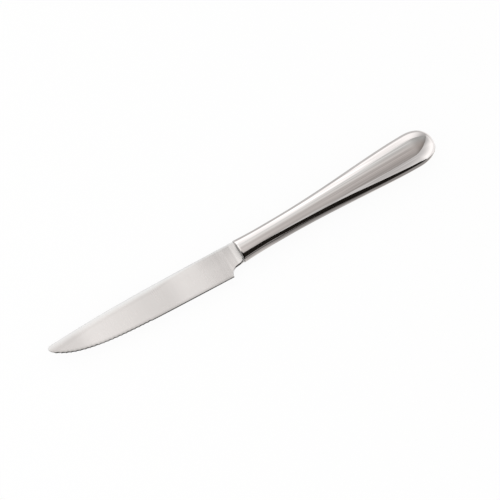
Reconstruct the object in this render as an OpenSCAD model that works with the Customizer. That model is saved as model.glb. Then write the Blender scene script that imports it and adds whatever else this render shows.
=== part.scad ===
// Steak knife with a hollow handle, lying on its side.
// X runs along the knife from the point to the butt, Y from the edge to the spine, Z up.
// The origin is on the surface that the knife lies on, under the middle of its box. Millimetres.

/* [Blade] */
// Length from the point to the handle's mouth
blade_len = 111; // [95:1:135]
// Distance from the handle's mouth to the heel of the edge
heel_setback = 9.2; // [8.6:0.2:14]
// Drop of the heel below the knife's axis
heel_drop = 10.75; // [9:0.05:14]
// Height of the point above the knife's axis
point_rise = 5.7; // [3:0.1:7]
// Radius that rounds the point into the spine
point_r = 1.8; // [0.8:0.1:3]
// Rise of the edge's straight rear part, if it ran on to the point
edge_slant = 4.6; // [3:0.1:6]
// Fullness of the edge's curve: more keeps the edge straight for longer
edge_fullness = 6; // [4:0.25:8]
// How the edge comes up to the point: 0.5 is a round end, and more is a sharper one
edge_sweep = 0.68; // [0.56:0.02:0.8]
// Rise of the spine above a straight line
spine_bow = 1.1; // [0:0.1:2.5]
// How far forward the spine's bow lies: 1 is the middle, and more is nearer to the point
spine_lag = 1.3; // [1:0.05:1.5]

/* [Grind] */
// Thickness of the steel at the neck and at the spine
stock_t = 2.4; // [2.2:0.1:3.2]
// Thickness left along the edge
edge_t = 0.4; // [0.3:0.05:0.6]
// Thickness left at the point
point_t = 1.2; // [1.1:0.1:1.6]
// Width of the flat band between the spine and the grind, at the heel
spine_band = 2.3; // [1:0.1:4]
// Distance from the handle's mouth to where the grind turns thinner towards the point
belly_setback = 70; // [55:1:80]
// Distance from the handle's mouth to where the grind ends
plunge_setback = 6.5; // [5.5:0.1:8]

/* [Teeth] */
// Length of edge that one tooth takes
tooth_pitch = 2.5; // [1.5:0.1:4]
// Depth of the hollow between two teeth
tooth_depth = 0.25; // [0.15:0.05:0.6]
// Distance from the point to the first tooth, along the knife
tooth_start = 4; // [3:0.5:12]
// Number of teeth
tooth_count = 21; // [4:1:30]

/* [Neck and tang] */
// Rise of the neck above the axis, at the handle's mouth
neck_rise = 6.2; // [4.5:0.1:6.2]
// Drop of the neck below the axis, at the handle's mouth
neck_drop = 6.1; // [4.5:0.1:6.2]
// Drop of the neck below the axis, at the notch behind the heel
notch_drop = 6.6; // [6.2:0.1:8]
// Radius of the notch behind the heel
notch_r = 4.5; // [4:0.1:7]
// Length of the tang inside the handle
tang_len = 60; // [35:1:80]
// Width of the tang
tang_w = 7; // [5:0.1:8.5]
// Thickness of the tang
tang_t = 1.8; // [1.4:0.1:2]
// Radius of the notches that key the tang into the cement
key_r = 1.5; // [0.8:0.1:2]
// Distance from the tang's end to the last pair of key notches
key_setback = 8; // [4:0.5:12]
// Distance between pairs of key notches
key_pitch = 14; // [6:0.5:20]
// Pairs of key notches
key_count = 2; // [1:1:2]

/* [Handle] */
// Length of the handle
handle_len = 121; // [105:1:140]
// Width across the mouth
mouth_w = 12.9; // [12.4:0.1:15]
// Width across the waist
waist_w = 11.8; // [11:0.1:14]
// Distance from the mouth to the waist
waist_setback = 17; // [8:1:40]
// Width across the widest part, near the butt
bulge_w = 19.9; // [16:0.1:26]
// Length of the rounded butt behind the widest part
butt_len = 13.4; // [9:0.1:20]
// Fullness of the butt's curve: 2 is an ellipse, and more is squarer
butt_fullness = 2.2; // [1.8:0.1:3]
// Width of the flat left at the very end
butt_flat = 1.2; // [0.6:0.1:3]
// How late the handle swells: 1 is even, and more keeps it slim for longer
swell_lag = 1.25; // [1:0.05:1.6]
// Thickness at the mouth
mouth_t = 10.6; // [9:0.1:12]
// Thickness at the widest part
bulge_t = 11.4; // [9.5:0.1:14]
// Fullness of the cross-section: 2 is an ellipse, and more is squarer
section_fullness = 2.3; // [2:0.1:3]
// Radius that rounds the rim of the mouth
rim_r = 0.2; // [0.2:0.1:1]

/* [Shells and joints] */
// Thickness of the pressed shells
wall = 0.8; // [0.6:0.05:1.2]
// Thickness of the wall that closes the mouth round the tang
front_wall = 1; // [0.8:0.1:2]
// Thickness of the braze between the shells
seam_t = 0.12; // [0.08:0.01:0.2]
// Thickness of the solder between neck and mouth
solder_t = 0.15; // [0.1:0.01:0.3]
// Clearance between the tang and its slot in the mouth
tang_fit = 0.1; // [0.05:0.05:0.3]
// Bond line round the cement and the solder
bond_gap = 0.05; // [0.04:0.01:0.1]
// Length of cement behind the tang's end
cement_cover = 8; // [4:0.5:15]

/* [Smoothness] */
// Steps round half of the handle
section_steps = 20; // [12:2:28]
// Steps along the handle, from the rim to the widest part
run_steps = 28; // [16:2:40]
// Steps along the rounded butt
butt_steps = 12; // [8:1:16]
// Steps round the rim of the mouth
rim_steps = 3; // [2:1:4]
// Steps along the edge and along the spine
outline_steps = 36; // [24:2:60]
// Steps round the point and round the notch behind the heel
corner_steps = 8; // [5:1:12]
// Steps along the cement
cement_steps = 12; // [8:1:20]

/* [Hidden] */

$fn = 48;

steel = "#cfccc8";
polished = "#b9b5b0";
braze = "#c8b27a";
solder = "#9a9a98";
cement = "#8d877c";

// Where the knife's axis meets the mouth, in the part's frame
spine_crown = max([for (i = [0:outline_steps]) spine_y(i / outline_steps)]);
highest = max(bulge_w / 2, mouth_w / 2, spine_crown);
lowest = max(bulge_w / 2, mouth_w / 2, heel_drop);
mouth = [(blade_len - handle_len) / 2, (lowest - highest) / 2, max(bulge_t, mouth_t) / 2];

// Handle
bulge_x = handle_len - butt_len;
rings_last = rim_steps + run_steps + butt_steps;
flat_share = butt_flat / bulge_w;

// Tang
tang_root = plunge_setback / 2;
cement_end = tang_len + cement_cover;

// Edge, notch and teeth
edge_len = blade_len - heel_setback;
notch_h = heel_drop - notch_drop;
notch_centre = [sqrt(2 * notch_r * notch_h - notch_h * notch_h) - heel_setback, -notch_drop - notch_r];
notch_start = atan2(-heel_drop - notch_centre.y, -heel_setback - notch_centre.x);
scallop_r = (tooth_pitch * tooth_pitch / 4 + tooth_depth * tooth_depth) / (2 * tooth_depth);
slope_step = 0.1;

// Least share of the edge's thickness that the grind leaves between the belly and the point
edge_keep = 0.65;

// Slopes of the ground faces: along Y, along X behind the belly and along X in front of it
half_stock = stock_t / 2;
half_edge = edge_t / 2;
grind_top = spine_y(heel_setback / (blade_len - point_r)) - spine_band;
belly_y = edge_y(-belly_setback);
lean = (half_stock - half_edge) / (grind_top + heel_drop);
rear_taper = (half_stock - half_edge + lean * (belly_y - grind_top)) / (belly_setback - heel_setback);
point_taper = min(concat(
    [(half_edge + lean * (point_rise - belly_y) - point_t / 2) / (blade_len - belly_setback)],
    [for (i = [1:outline_steps]) let (run = (blade_len - belly_setback) * i / outline_steps)
        (half_edge * (1 - edge_keep) + lean * (edge_y(-belly_setback - run) - belly_y)) / run]
));

// A cutter large enough to clear the whole blade
cutter = 2 * blade_len;

function mix(a, b, u) = a + (b - a) * u;
function clamp01(u) = min(1, max(0, u));
function ease(u) = u * u * (3 - 2 * u);
function on_arc(centre, r, a) = [centre.x + r * cos(a), centre.y + r * sin(a)];

// Height of the spine at share u of the way from the mouth to the point
function spine_y(u) =
    let (v = pow(u, spine_lag))
    mix(neck_rise, point_rise + point_r, u) + 4 * spine_bow * v * (1 - v);

// Height of the edge at x: a slanting line from the heel that sweeps up to the point
function edge_y(x) =
    let (
        u = clamp01((-x - heel_setback) / edge_len),
        depth = point_rise + heel_drop - edge_slant * u
    )
    point_rise - depth * pow(1 - pow(u, edge_fullness), edge_sweep);
function edge_slope(x) = atan2(edge_y(x + slope_step) - edge_y(x - slope_step), 2 * slope_step);

// Places of the hollows between the teeth, stepped along the edge from the point
tooth_x = [
    for (
        i = 0, x = tooth_start - blade_len;
        i < tooth_count;
        x = x + tooth_pitch * cos(edge_slope(x)), i = i + 1
    ) x
];

// Half width and half thickness of the handle at x, ahead of the rounded butt
function swell(x) = ease(pow(clamp01((x - waist_setback) / (bulge_x - waist_setback)), swell_lag));
function flare(x) = pow(clamp01(1 - x / waist_setback), 2);
function half_w(x) = (waist_w + (bulge_w - waist_w) * swell(x) + (mouth_w - waist_w) * flare(x)) / 2;
function half_t(x) = mix(mouth_t, bulge_t, ease(clamp01(x / bulge_x))) / 2;

// Share of the section that is left along the rounded butt
function butt_share(x, inset) =
    let (v = clamp01((x - bulge_x) / (butt_len - inset)))
    mix(flat_share, 1, pow(1 - pow(v, butt_fullness), 1 / butt_fullness));

// Place of ring i along a skin that starts at front and lies inset under the outside
function ring_x(i, inset, front) =
    i <= rim_steps ? front + rim_r * (1 - cos(90 * i / rim_steps))
    : i <= rim_steps + run_steps ? mix(front + rim_r, bulge_x, (i - rim_steps) / run_steps)
    : bulge_x + (butt_len - inset) * sin(90 * (i - rim_steps - run_steps) / butt_steps);
function rim_cut(i) = rim_r * (1 - sin(90 * min(1, i / rim_steps)));

// A point of the full oval at angle a, for half sizes w and t
function round_share(c) = sign(c) * pow(abs(c), 2 / section_fullness);
function oval(x, w, t, a) = [x, w * round_share(cos(a)), t * round_share(sin(a))];

// Upper half of ring i, from the spine side over the top to the edge side
function half_ring(i, inset, front) =
    let (
        x = ring_x(i, inset, front),
        share = butt_share(x, inset),
        cut = inset + rim_cut(i),
        w = (half_w(x) - cut) * share,
        t = (half_t(x) - seam_t / 2 - cut) * share
    )
    [for (j = [0:section_steps]) oval(x, w, t, 180 * j / section_steps)];

// Outline of a skin on the seam's plane, down the spine side and back up the edge side
function seam_outline(inset, front) =
    let (rings = [for (i = [0:rings_last]) half_ring(i, inset, front)])
    concat(
        [for (i = [0:rings_last]) [rings[i][0].x, rings[i][0].y]],
        [for (i = [rings_last:-1:0]) [rings[i][section_steps].x, rings[i][section_steps].y]]
    );

// Two triangles for the quad a, b, c, d
function quad(a, b, c, d) = [[a, b, c], [a, c, d]];

module in_frame() {
    translate(mouth) children();
}

module blade_outline() {
    point_centre = [point_r - blade_len, point_rise];
    polygon(concat(
        [for (i = [0:outline_steps - 1]) let (u = i / outline_steps)
            [mix(-solder_t, point_centre.x, u), spine_y(u)]],
        [for (i = [0:corner_steps]) on_arc(point_centre, point_r, mix(90, 180, i / corner_steps))],
        [for (i = [1:outline_steps - 1]) let (x = -heel_setback - edge_len * cos(90 * i / outline_steps))
            [x, edge_y(x)]],
        [for (i = [0:corner_steps]) on_arc(notch_centre, notch_r, mix(notch_start, 90, i / corner_steps))],
        [[-solder_t, -neck_drop]]
    ));
}

// What lies above a plane that has this height over the axis at the end of the grind
module above_plane(height, taper) {
    translate([-plunge_setback, 0, height])
        rotate(a = atan(norm([taper, lean])), v = [lean, -taper, 0])
            translate([-cutter, -cutter / 2, 0])
                cube(cutter);
}

// The steel that is ground away on the upper side, behind the belly and in front of it
module ground_away() {
    above_plane(half_stock - lean * grind_top + rear_taper * (heel_setback - plunge_setback), rear_taper);
    above_plane(half_edge - lean * belly_y + point_taper * (belly_setback - plunge_setback), point_taper);
}

module tooth_hollows() {
    for (x = tooth_x) {
        a = edge_slope(x);
        translate([x, edge_y(x), 0] + (scallop_r - tooth_depth) * [sin(a), -cos(a), 0])
            cylinder(r = scallop_r, h = 2 * stock_t, center = true);
    }
}

// The tang, or the room that it takes when grown by a gap
module tang(gap = 0) {
    linear_extrude(tang_t + 2 * gap, center = true)
        difference() {
            translate([-tang_root, -tang_w / 2 - gap])
                square([tang_root + tang_len + gap, tang_w + 2 * gap]);
            for (k = [0:key_count - 1], side = [-1, 1])
                translate([tang_len - key_setback - k * key_pitch, side * tang_w / 2])
                    circle(key_r - gap);
        }
}

// The slot through the mouth's front wall
module tang_slot() {
    translate([-front_wall, -tang_w / 2 - tang_fit, -tang_t / 2 - tang_fit])
        cube([3 * front_wall, tang_w + 2 * tang_fit, tang_t + 2 * tang_fit]);
}

module half_shell() {
    row = section_steps + 1;
    last = rings_last;
    inner = (last + 1) * row;
    points = concat(
        [for (i = [0:last]) each half_ring(i, 0, 0)],
        [for (i = [0:last]) each half_ring(i, wall, front_wall)]
    );
    function out(i, j) = i * row + j;
    function in(i, j) = inner + i * row + j;
    outside = [for (i = [0:last - 1], j = [0:section_steps - 1])
        each quad(out(i, j), out(i + 1, j), out(i + 1, j + 1), out(i, j + 1))];
    inside = [for (i = [0:last - 1], j = [0:section_steps - 1])
        each quad(in(i, j), in(i, j + 1), in(i + 1, j + 1), in(i + 1, j))];
    rims = [for (i = [0:last - 1]) each concat(
        quad(out(i, 0), in(i, 0), in(i + 1, 0), out(i + 1, 0)),
        quad(out(i, section_steps), out(i + 1, section_steps), in(i + 1, section_steps), in(i, section_steps))
    )];
    ends = concat(
        quad(out(0, section_steps), in(0, section_steps), in(0, 0), out(0, 0)),
        quad(in(last, section_steps), out(last, section_steps), out(last, 0), in(last, 0)),
        [
            [for (j = [0:section_steps]) out(0, j)],
            [for (j = [section_steps:-1:0]) in(0, j)],
            [for (j = [section_steps:-1:0]) out(last, j)],
            [for (j = [0:section_steps]) in(last, j)],
        ]
    );
    difference() {
        translate([0, 0, seam_t / 2])
            polyhedron(points, concat(outside, inside, rims, ends));
        tang_slot();
    }
}

module blade() {
    color(steel) in_frame() difference() {
        union() {
            difference() {
                linear_extrude(stock_t, center = true) blade_outline();
                ground_away();
                mirror([0, 0, 1]) ground_away();
            }
            tang();
        }
        tooth_hollows();
    }
}

module upper_handle_shell() {
    color(polished) in_frame() half_shell();
}

module lower_handle_shell() {
    color(polished) in_frame() mirror([0, 0, 1]) half_shell();
}

module shell_seam_braze() {
    color(braze) in_frame() difference() {
        linear_extrude(seam_t, center = true)
            difference() {
                polygon(seam_outline(0, 0));
                polygon(seam_outline(wall, front_wall));
            }
        tang_slot();
    }
}

module tang_cement() {
    inset = wall + bond_gap;
    front = front_wall + bond_gap;
    row = 2 * section_steps;
    last = rim_steps + cement_steps;
    points = [for (i = [0:last])
        let (
            x = i <= rim_steps ? ring_x(i, inset, front)
                : mix(front + rim_r, cement_end, (i - rim_steps) / cement_steps),
            cut = inset + rim_cut(i)
        )
        for (j = [0:row - 1]) oval(x, half_w(x) - cut, half_t(x) - cut, 180 * j / section_steps)];
    function at(i, j) = i * row + j % row;
    skin = [for (i = [0:last - 1], j = [0:row - 1])
        each quad(at(i, j), at(i + 1, j), at(i + 1, j + 1), at(i, j + 1))];
    caps = [[for (j = [0:row - 1]) at(0, j)], [for (j = [row - 1:-1:0]) at(last, j)]];
    color(cement) in_frame() difference() {
        polyhedron(points, concat(skin, caps));
        tang(bond_gap);
    }
}

module neck_solder() {
    color(solder) in_frame() difference() {
        translate([-solder_t, -neck_drop, -half_stock])
            cube([solder_t, neck_drop + neck_rise, stock_t]);
        tang(bond_gap);
    }
}

blade();
upper_handle_shell();
lower_handle_shell();
shell_seam_braze();
tang_cement();
neck_solder();
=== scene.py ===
"""Finished look of a steak knife: a ground blade, a polished hollow handle and a studio around them.

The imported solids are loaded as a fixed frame, and every piece is modelled in that frame, in metres:
+X runs from the point to the butt, +Y from the cutting edge to the spine, and +Z up.
"""

import math
from itertools import pairwise

import bmesh
import bpy
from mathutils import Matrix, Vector


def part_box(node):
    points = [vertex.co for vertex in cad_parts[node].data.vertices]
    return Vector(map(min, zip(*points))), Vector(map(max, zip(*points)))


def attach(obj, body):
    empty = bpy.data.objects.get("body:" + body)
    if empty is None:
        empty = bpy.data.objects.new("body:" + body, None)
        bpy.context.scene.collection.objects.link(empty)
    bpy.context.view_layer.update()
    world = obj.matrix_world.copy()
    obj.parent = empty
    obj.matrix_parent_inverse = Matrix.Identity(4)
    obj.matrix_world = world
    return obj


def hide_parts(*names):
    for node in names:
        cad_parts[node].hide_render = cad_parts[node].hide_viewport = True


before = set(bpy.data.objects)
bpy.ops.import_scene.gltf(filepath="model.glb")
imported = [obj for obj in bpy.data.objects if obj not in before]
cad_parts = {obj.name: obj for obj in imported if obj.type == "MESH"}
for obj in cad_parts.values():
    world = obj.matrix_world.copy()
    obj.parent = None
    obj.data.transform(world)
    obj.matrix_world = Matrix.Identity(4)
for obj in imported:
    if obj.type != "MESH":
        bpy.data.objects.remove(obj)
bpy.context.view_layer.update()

bl_info = {
    "name": "Steak Knife",
    "version": (1, 0, 0),
    "blender": (4, 5, 0),
    "location": "View3D > Sidebar > Knife",
    "description": "Models a steak knife's ground blade, polished handle and studio",
    "category": "Object",
}

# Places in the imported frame
BLADE_LOW, BLADE_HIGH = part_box("blade")
UPPER_LOW, UPPER_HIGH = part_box("upper_handle_shell")
LOWER_LOW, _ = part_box("lower_handle_shell")
SEAM_LOW, SEAM_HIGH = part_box("shell_seam_braze")
NECK_LOW, NECK_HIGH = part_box("neck_solder")
MOUTH_X = UPPER_LOW.x
BUTT_X = UPPER_HIGH.x
AXIS_Y = (SEAM_LOW.y + SEAM_HIGH.y) / 2
MID_Z = (SEAM_LOW.z + SEAM_HIGH.z) / 2
MOUTH = Vector((MOUTH_X, AXIS_Y, MID_Z))

# Values at the blade's vertices: height over the edge, depth under the spine, and how far into a hollow
EDGE_GAP = "edge_gap"
SPINE_GAP = "spine_gap"
HOLLOW = "tooth_hollow"


# Settings that a user would change

def length(name, description, default):
    """A length setting in metres."""
    return bpy.props.FloatProperty(
        name=name, description=description, default=default, min=0.0, precision=5, unit="LENGTH"
    )


def share(name, description, default, top=1.0):
    """A plain number setting from 0 to a top value."""
    return bpy.props.FloatProperty(name=name, description=description, default=default, min=0.0, max=top)


def count(name, description, default):
    """A whole number setting."""
    return bpy.props.IntProperty(name=name, description=description, default=default, min=1)


def colour(name, description, default):
    """A colour setting."""
    return bpy.props.FloatVectorProperty(
        name=name, description=description, default=default, min=0.0, max=1.0, size=3, subtype="COLOR"
    )


def angle(name, description, degrees):
    """An angle setting, given in degrees."""
    return bpy.props.FloatProperty(
        name=name, description=description, default=math.radians(degrees), subtype="ANGLE"
    )


class BladeSettings(bpy.types.PropertyGroup):
    """Sizes of the blade, its neck and its tang, measured from the handle's mouth and axis."""

    length: length("Length", "From the handle's mouth to the point", MOUTH_X - BLADE_LOW.x)
    stock: length("Stock", "Thickness of the steel", BLADE_HIGH.z - BLADE_LOW.z)
    heel_setback: length("Heel setback", "From the mouth to the heel", 0.0092)
    heel_drop: length("Heel drop", "From the axis down to the heel", AXIS_Y - BLADE_LOW.y)
    point_rise: length("Point rise", "From the axis up to the point", 0.0057)
    point_radius: length("Point radius", "Radius of the point on the spine's side", 0.0018)
    edge_slant: length("Edge slant", "Rise of the edge's rear part, if it ran on to the point", 0.0046)
    edge_fullness: share("Edge fullness", "How far the edge stays straight before it sweeps up", 6.0, 12.0)
    edge_sweep: share("Edge sweep", "How sharply the edge comes up to the point", 0.68)
    spine_bow: length("Spine bow", "How far the spine bows up between its ends", 0.0011)
    spine_lag: share("Spine lag", "How far forward the spine's bow lies", 1.3, 4.0)
    neck_rise: length("Neck rise", "From the axis up to the neck's top at the mouth", NECK_HIGH.y - AXIS_Y)
    neck_drop: length("Neck drop", "From the axis down to the neck's foot at the mouth", AXIS_Y - NECK_LOW.y)
    notch_drop: length("Notch drop", "From the axis down to the top of the notch behind the heel", 0.0066)
    notch_radius: length("Notch radius", "Radius of the notch behind the heel", 0.0045)
    joint: length("Joint", "Thickness of the solder at the mouth", NECK_HIGH.x - NECK_LOW.x)
    tang_length: length("Tang length", "From the mouth to the tang's end", BLADE_HIGH.x - MOUTH_X)
    tang_width: length("Tang width", "Width of the tang", 0.007)
    tang_thickness: length("Tang thickness", "Thickness of the tang", 0.0018)
    key_radius: length("Key radius", "Radius of the notches that key the tang", 0.0015)
    key_setback: length("Key setback", "From the tang's end to its last pair of notches", 0.008)
    key_pitch: length("Key pitch", "From one pair of notches to the next", 0.014)
    key_pairs: count("Key pairs", "Pairs of notches along the tang", 2)
    band: length("Spine band", "Width of the unground band under the spine at the heel", 0.0023)
    belly_setback: length("Belly setback", "From the mouth to where the grind turns up to the point", 0.07)
    edge_thickness: length("Edge thickness", "Thickness behind the honed edge", 0.0004)
    point_thickness: length("Point thickness", "Thickness at the point", 0.0012)
    plunge: length("Plunge", "From the mouth to the middle of the grind's run-out", 0.0052)
    plunge_softness: length("Plunge softness", "Length of the grind's run-out", 0.0075)
    grind_softness: length("Grind softness", "Rounding of the grind's top line, in thickness", 0.00009)
    hone: length("Honed edge", "Width of the honed bevel along the edge", 0.0005)
    spine_round: length("Spine rounding", "Radius of the spine's edges", 0.0002)
    spine_crown: length("Spine crown", "How far each face falls away towards the spine", 0.00027)
    crown_width: length("Crown width", "How far the crown reaches down from the spine", 0.003)
    neck_round: length("Neck rounding", "Radius of the edges under the neck", 0.0005)
    tooth_pitch: length("Tooth pitch", "From one tooth to the next", 0.0025)
    tooth_depth: length("Tooth depth", "Depth of the hollows between teeth", 0.00025)
    tooth_start: length("Tooth start", "From the point to the first hollow", 0.004)
    tooth_count: count("Teeth", "Number of hollows", 21)
    tooth_steps: count("Tooth steps", "Columns of faces in each tooth", 8)


class HandleSettings(bpy.types.PropertyGroup):
    """Sizes of the hollow handle, measured from its mouth."""

    mouth_width: length("Mouth width", "Width at the mouth", 0.0129)
    waist_width: length("Waist width", "Width at the narrowest place", 0.0118)
    waist_setback: length("Waist setback", "From the mouth to the narrowest place", 0.017)
    bulge_width: length("Bulge width", "Width at the widest place", SEAM_HIGH.y - SEAM_LOW.y)
    bulge_thickness: length("Bulge thickness", "Thickness at the widest place", UPPER_HIGH.z - LOWER_LOW.z)
    mouth_thickness: length("Mouth thickness", "Thickness at the mouth", 0.0106)
    butt_length: length("Butt length", "From the widest place to the end", 0.0134)
    butt_fullness: share("Butt fullness", "How square the end is in plan", 2.2, 6.0)
    swell_lag: share("Swell lag", "How late the handle swells", 1.25, 4.0)
    section_fullness: share("Section fullness", "How square the section is", 2.3, 6.0)
    rim: length("Rim", "Radius of the mouth's rim", 0.0002)
    wall: length("Wall", "Thickness of the pressed steel", 0.0008)
    slot_gap: length("Slot gap", "Gap between the tang and the slot in the front wall", 0.0001)
    section_steps: count("Section steps", "Faces in each quarter of the section", 24)
    rim_steps: count("Rim steps", "Rings of faces round the rim", 6)
    run_steps: count("Run steps", "Rings of faces between the rim and the widest place", 72)
    butt_steps: count("Butt steps", "Rings of faces from the widest place to the end", 36)


class FinishSettings(bpy.types.PropertyGroup):
    """Colours and finishes of the knife's metals and cement."""

    # The ground blade goes between these two colours with its grain and with painted light and shade
    satin: colour("Satin steel", "Colour of the ground blade where it is palest", (0.787, 0.768, 0.76))
    satin_dark: colour("Dark satin", "Colour of the ground blade where it is darkest", (0.592, 0.575, 0.568))
    satin_band: colour("Spine band", "Colour of the blade along its spine", (0.692, 0.684, 0.684))
    satin_roughness: share("Satin roughness", "Roughness of the ground blade", 0.30)
    # The honed edge's dark colour is painted shade, standing in for the bevel's dark reflection
    honed: colour("Honed steel", "Colour of the honed edge", (0.30, 0.294, 0.288))
    polished: colour("Polished steel", "Colour of the handle", (0.806, 0.769, 0.756))
    polished_haze: colour("Polishing strokes", "Colour of the strokes on the handle", (0.634, 0.601, 0.588))
    polished_roughness: share("Polished roughness", "Roughness of the handle", 0.035)
    braze: colour("Braze", "Colour of the seam's braze", (0.66, 0.62, 0.54))
    solder: colour("Solder", "Colour of the solder at the mouth", (0.45, 0.45, 0.44))
    cement: colour("Cement", "Colour of the cement round the tang", (0.36, 0.34, 0.30))


class StudioSettings(bpy.types.PropertyGroup):
    """The camera's place and the light."""

    azimuth: angle("Azimuth", "Where the camera stands: 0 looks along +Y", -31.64)
    elevation: angle("Elevation", "Height of the camera above the horizon", 72.0)
    distance: length("Distance", "From the camera to the knife", 0.9)
    lens: bpy.props.FloatProperty(
        name="Lens", description="Focal length on a 36 mm sensor", default=123.96, min=1.0, unit="CAMERA"
    )
    floor: colour("Floor", "Colour of the floor", (0.92, 0.92, 0.92))
    warmth: colour("Panel colour", "Colour of the panel over the knife", (1.0, 0.97, 0.95))
    far_warmth: colour("Far panel colour", "Colour of the panel beyond the butt", (1.0, 0.915, 0.86))
    back_tint: colour("Back panel colour", "Colour of the panel at its back", (0.945, 0.965, 0.955))
    card_tint: colour("Card colour", "Colour of the card where it is darkest", (1.0, 0.84, 0.7))
    panel_height: length("Panel height", "Height of the panel over the knife", 0.6)


# Numbers

def clamp(value, low=0.0, high=1.0):
    """Holds a value between two others."""
    return min(max(value, low), high)


def mix(low, high, part):
    """Goes from low to high as part goes from 0 to 1, for numbers and for sockets."""
    return low + (high - low) * part


def ease(part):
    """A smooth step from 0 to 1."""
    part = clamp(part)
    return part * part * (3.0 - 2.0 * part)


def soft_min(first, second, width):
    """The lesser of two values, with the corner between them rounded over a width."""
    part = clamp(0.5 + 0.5 * (second - first) / width)
    return mix(second, first, part) - width * part * (1.0 - part)


# Shader nodes

class Wire:
    """A socket in a node tree. Arithmetic on it adds Math nodes to the tree."""

    def __init__(self, tree, socket=None):
        self.tree = tree
        self.socket = socket

    def node(self, kind, settings=None, sockets=None, output=0):
        """Adds a node, sets its settings and then its sockets, and returns one of its outputs."""
        new = self.tree.nodes.new(kind)
        for name, value in (settings or {}).items():
            setattr(new, name, value)
        for key, value in (sockets or {}).items():
            if isinstance(value, Wire):
                self.tree.links.new(value.socket, new.inputs[key])
            else:
                new.inputs[key].default_value = value
        return Wire(self.tree, new.outputs[output] if new.outputs else None)

    def math(self, operation, *others):
        """Adds a Math node with this socket first."""
        values = dict(enumerate((self, *others)))
        return self.node("ShaderNodeMath", {"operation": operation}, values)

    def fade(self, start, end, low=0.0, high=1.0):
        """Goes smoothly from low at start to high at end."""
        values = {"Value": self, "From Min": start, "From Max": end, "To Min": low, "To Max": high}
        return self.node("ShaderNodeMapRange", {"interpolation_type": "SMOOTHSTEP"}, values)

    def grade(self, low=0.0, high=1.0):
        """Draws a noise's usual range out from low to high."""
        return self.fade(0.3, 0.7, low, high)

    def steps(self, changes):
        """Adds up smooth steps along this socket, each with its start, its end and its change."""
        return sum(self.fade(start, end, 0.0, change) for start, end, change in changes)

    def blend(self, low, high):
        """Goes from one colour to another as this socket goes from 0 to 1."""
        return self.node("ShaderNodeMix", {"data_type": "RGBA"}, {0: self, 6: paint(low), 7: paint(high)}, 2)

    def __add__(self, other):
        return self.math("ADD", other)

    __radd__ = __add__

    def __sub__(self, other):
        return self.math("SUBTRACT", other)

    def __rsub__(self, other):
        return (self * -1.0) + other

    def __mul__(self, other):
        return self.math("MULTIPLY", other)

    __rmul__ = __mul__

    def __truediv__(self, other):
        return self.math("DIVIDE", other)


def paint(value):
    """A colour as a socket takes it: a link as it is, or three numbers with an alpha of 1."""
    if isinstance(value, Wire):
        return value
    return (*value[:3], 1.0)


def shaded(tone, factor):
    """A colour made darker or paler by a factor."""
    return [factor * part for part in tone]


def empty_tree(owner):
    """Clears a material's or world's nodes and returns a Wire to start from."""
    owner.use_nodes = True
    owner.node_tree.nodes.clear()
    return Wire(owner.node_tree)


def position(start, axis, output="Object"):
    """A place's coordinate on one axis."""
    place = start.node("ShaderNodeTexCoord", output=output)
    return start.node("ShaderNodeSeparateXYZ", {}, {0: place}, axis)


def before_mouth(start):
    """A place's distance from the handle's mouth towards the point."""
    return MOUTH_X - position(start, "X")


def kept_value(start, name):
    """A value that is kept at the vertices."""
    return start.node("ShaderNodeAttribute", {"attribute_name": name}, output="Fac")


def ray(start, kind):
    """Whether a ray is of a kind, such as Camera or Glossy."""
    return start.node("ShaderNodeLightPath", output=f"Is {kind} Ray")


def stretched_noise(start, grains, turn=0.0, detail=2.0):
    """Noise in Object coordinates with its own number of grains a metre along each axis."""
    place = start.node("ShaderNodeTexCoord", output="Object")
    spread = {"Vector": place, "Rotation": (0.0, 0.0, turn), "Scale": grains}
    place = start.node("ShaderNodeMapping", {"vector_type": "POINT"}, spread)
    return start.node("ShaderNodeTexNoise", {}, {"Vector": place, "Scale": 1.0, "Detail": detail}, "Fac")


def even_noise(start, grains, detail=2.0):
    """Noise with the same number of grains a metre every way."""
    return stretched_noise(start, (grains, grains, grains), 0.0, detail)


def bumped(start, height, depth, strength):
    """A normal raised by a height from 0 to 1 over a depth in metres."""
    values = {"Strength": strength, "Distance": depth, "Height": height}
    return start.node("ShaderNodeBump", {}, values, "Normal")


def surface(name, build, finish):
    """Makes a material from a function that returns a Principled shader's sockets."""
    material = bpy.data.materials.new(name)
    start = empty_tree(material)
    shader = start.node("ShaderNodeBsdfPrincipled", {}, build(start, finish))
    start.node("ShaderNodeOutputMaterial", {}, {"Surface": shader})
    return material


def glowing(name, build, studio):
    """Makes a material that only shines, from a function that returns its tint and its strength."""
    material = bpy.data.materials.new(name)
    start = empty_tree(material)
    tint, glow = build(start, studio)
    light = start.node("ShaderNodeVectorMath", {"operation": "SCALE"}, {0: tint, "Scale": glow})
    shine = start.node("ShaderNodeEmission", {}, {"Color": light})
    start.node("ShaderNodeOutputMaterial", {}, {"Surface": shine})
    return material


# Finishes

# Grains of noise a metre along each axis: lines run across the blade and along the handle
GRIND_LINES = (9000.0, 90.0, 90.0)
GRIND_STREAKS = (1100.0, 20.0, 20.0)
GRIND_CLOUDS = (60.0, 90.0, 60.0)
HONING_LINES = (16000.0, 900.0, 900.0)
POLISHING_LINES = (25.0, 4200.0, 4200.0)
POLISHING_STROKES = (6.0, 1500.0, 1500.0)
HANDLING_HAZE = (45.0, 90.0, 90.0)
GRIND_SLANT = math.radians(4.0)
HAZE_TURN = 0.4

# Where painted light and shade make the ground face paler or darker in bands, as start and end before the
# mouth and the change
SATIN_START = 0.94
SATIN_PAINTED_LIGHT_STEPS = (
    (0.0042, 0.0026, 0.9), (0.0085, 0.0065, -0.45), (0.027, 0.012, -0.42),
    (0.033, 0.046, -0.56), (0.046, 0.09, 0.34), (0.087, 0.099, -0.58),
)

# Where the painted shade on the honed edge deepens or lightens, in the same way
HONED_PAINTED_SHADE_STEPS = ((0.06, 0.052, 0.34), (0.042, 0.034, -0.12), (0.027, 0.018, -0.6), (0.01, 0.009, 0.6))


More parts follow.
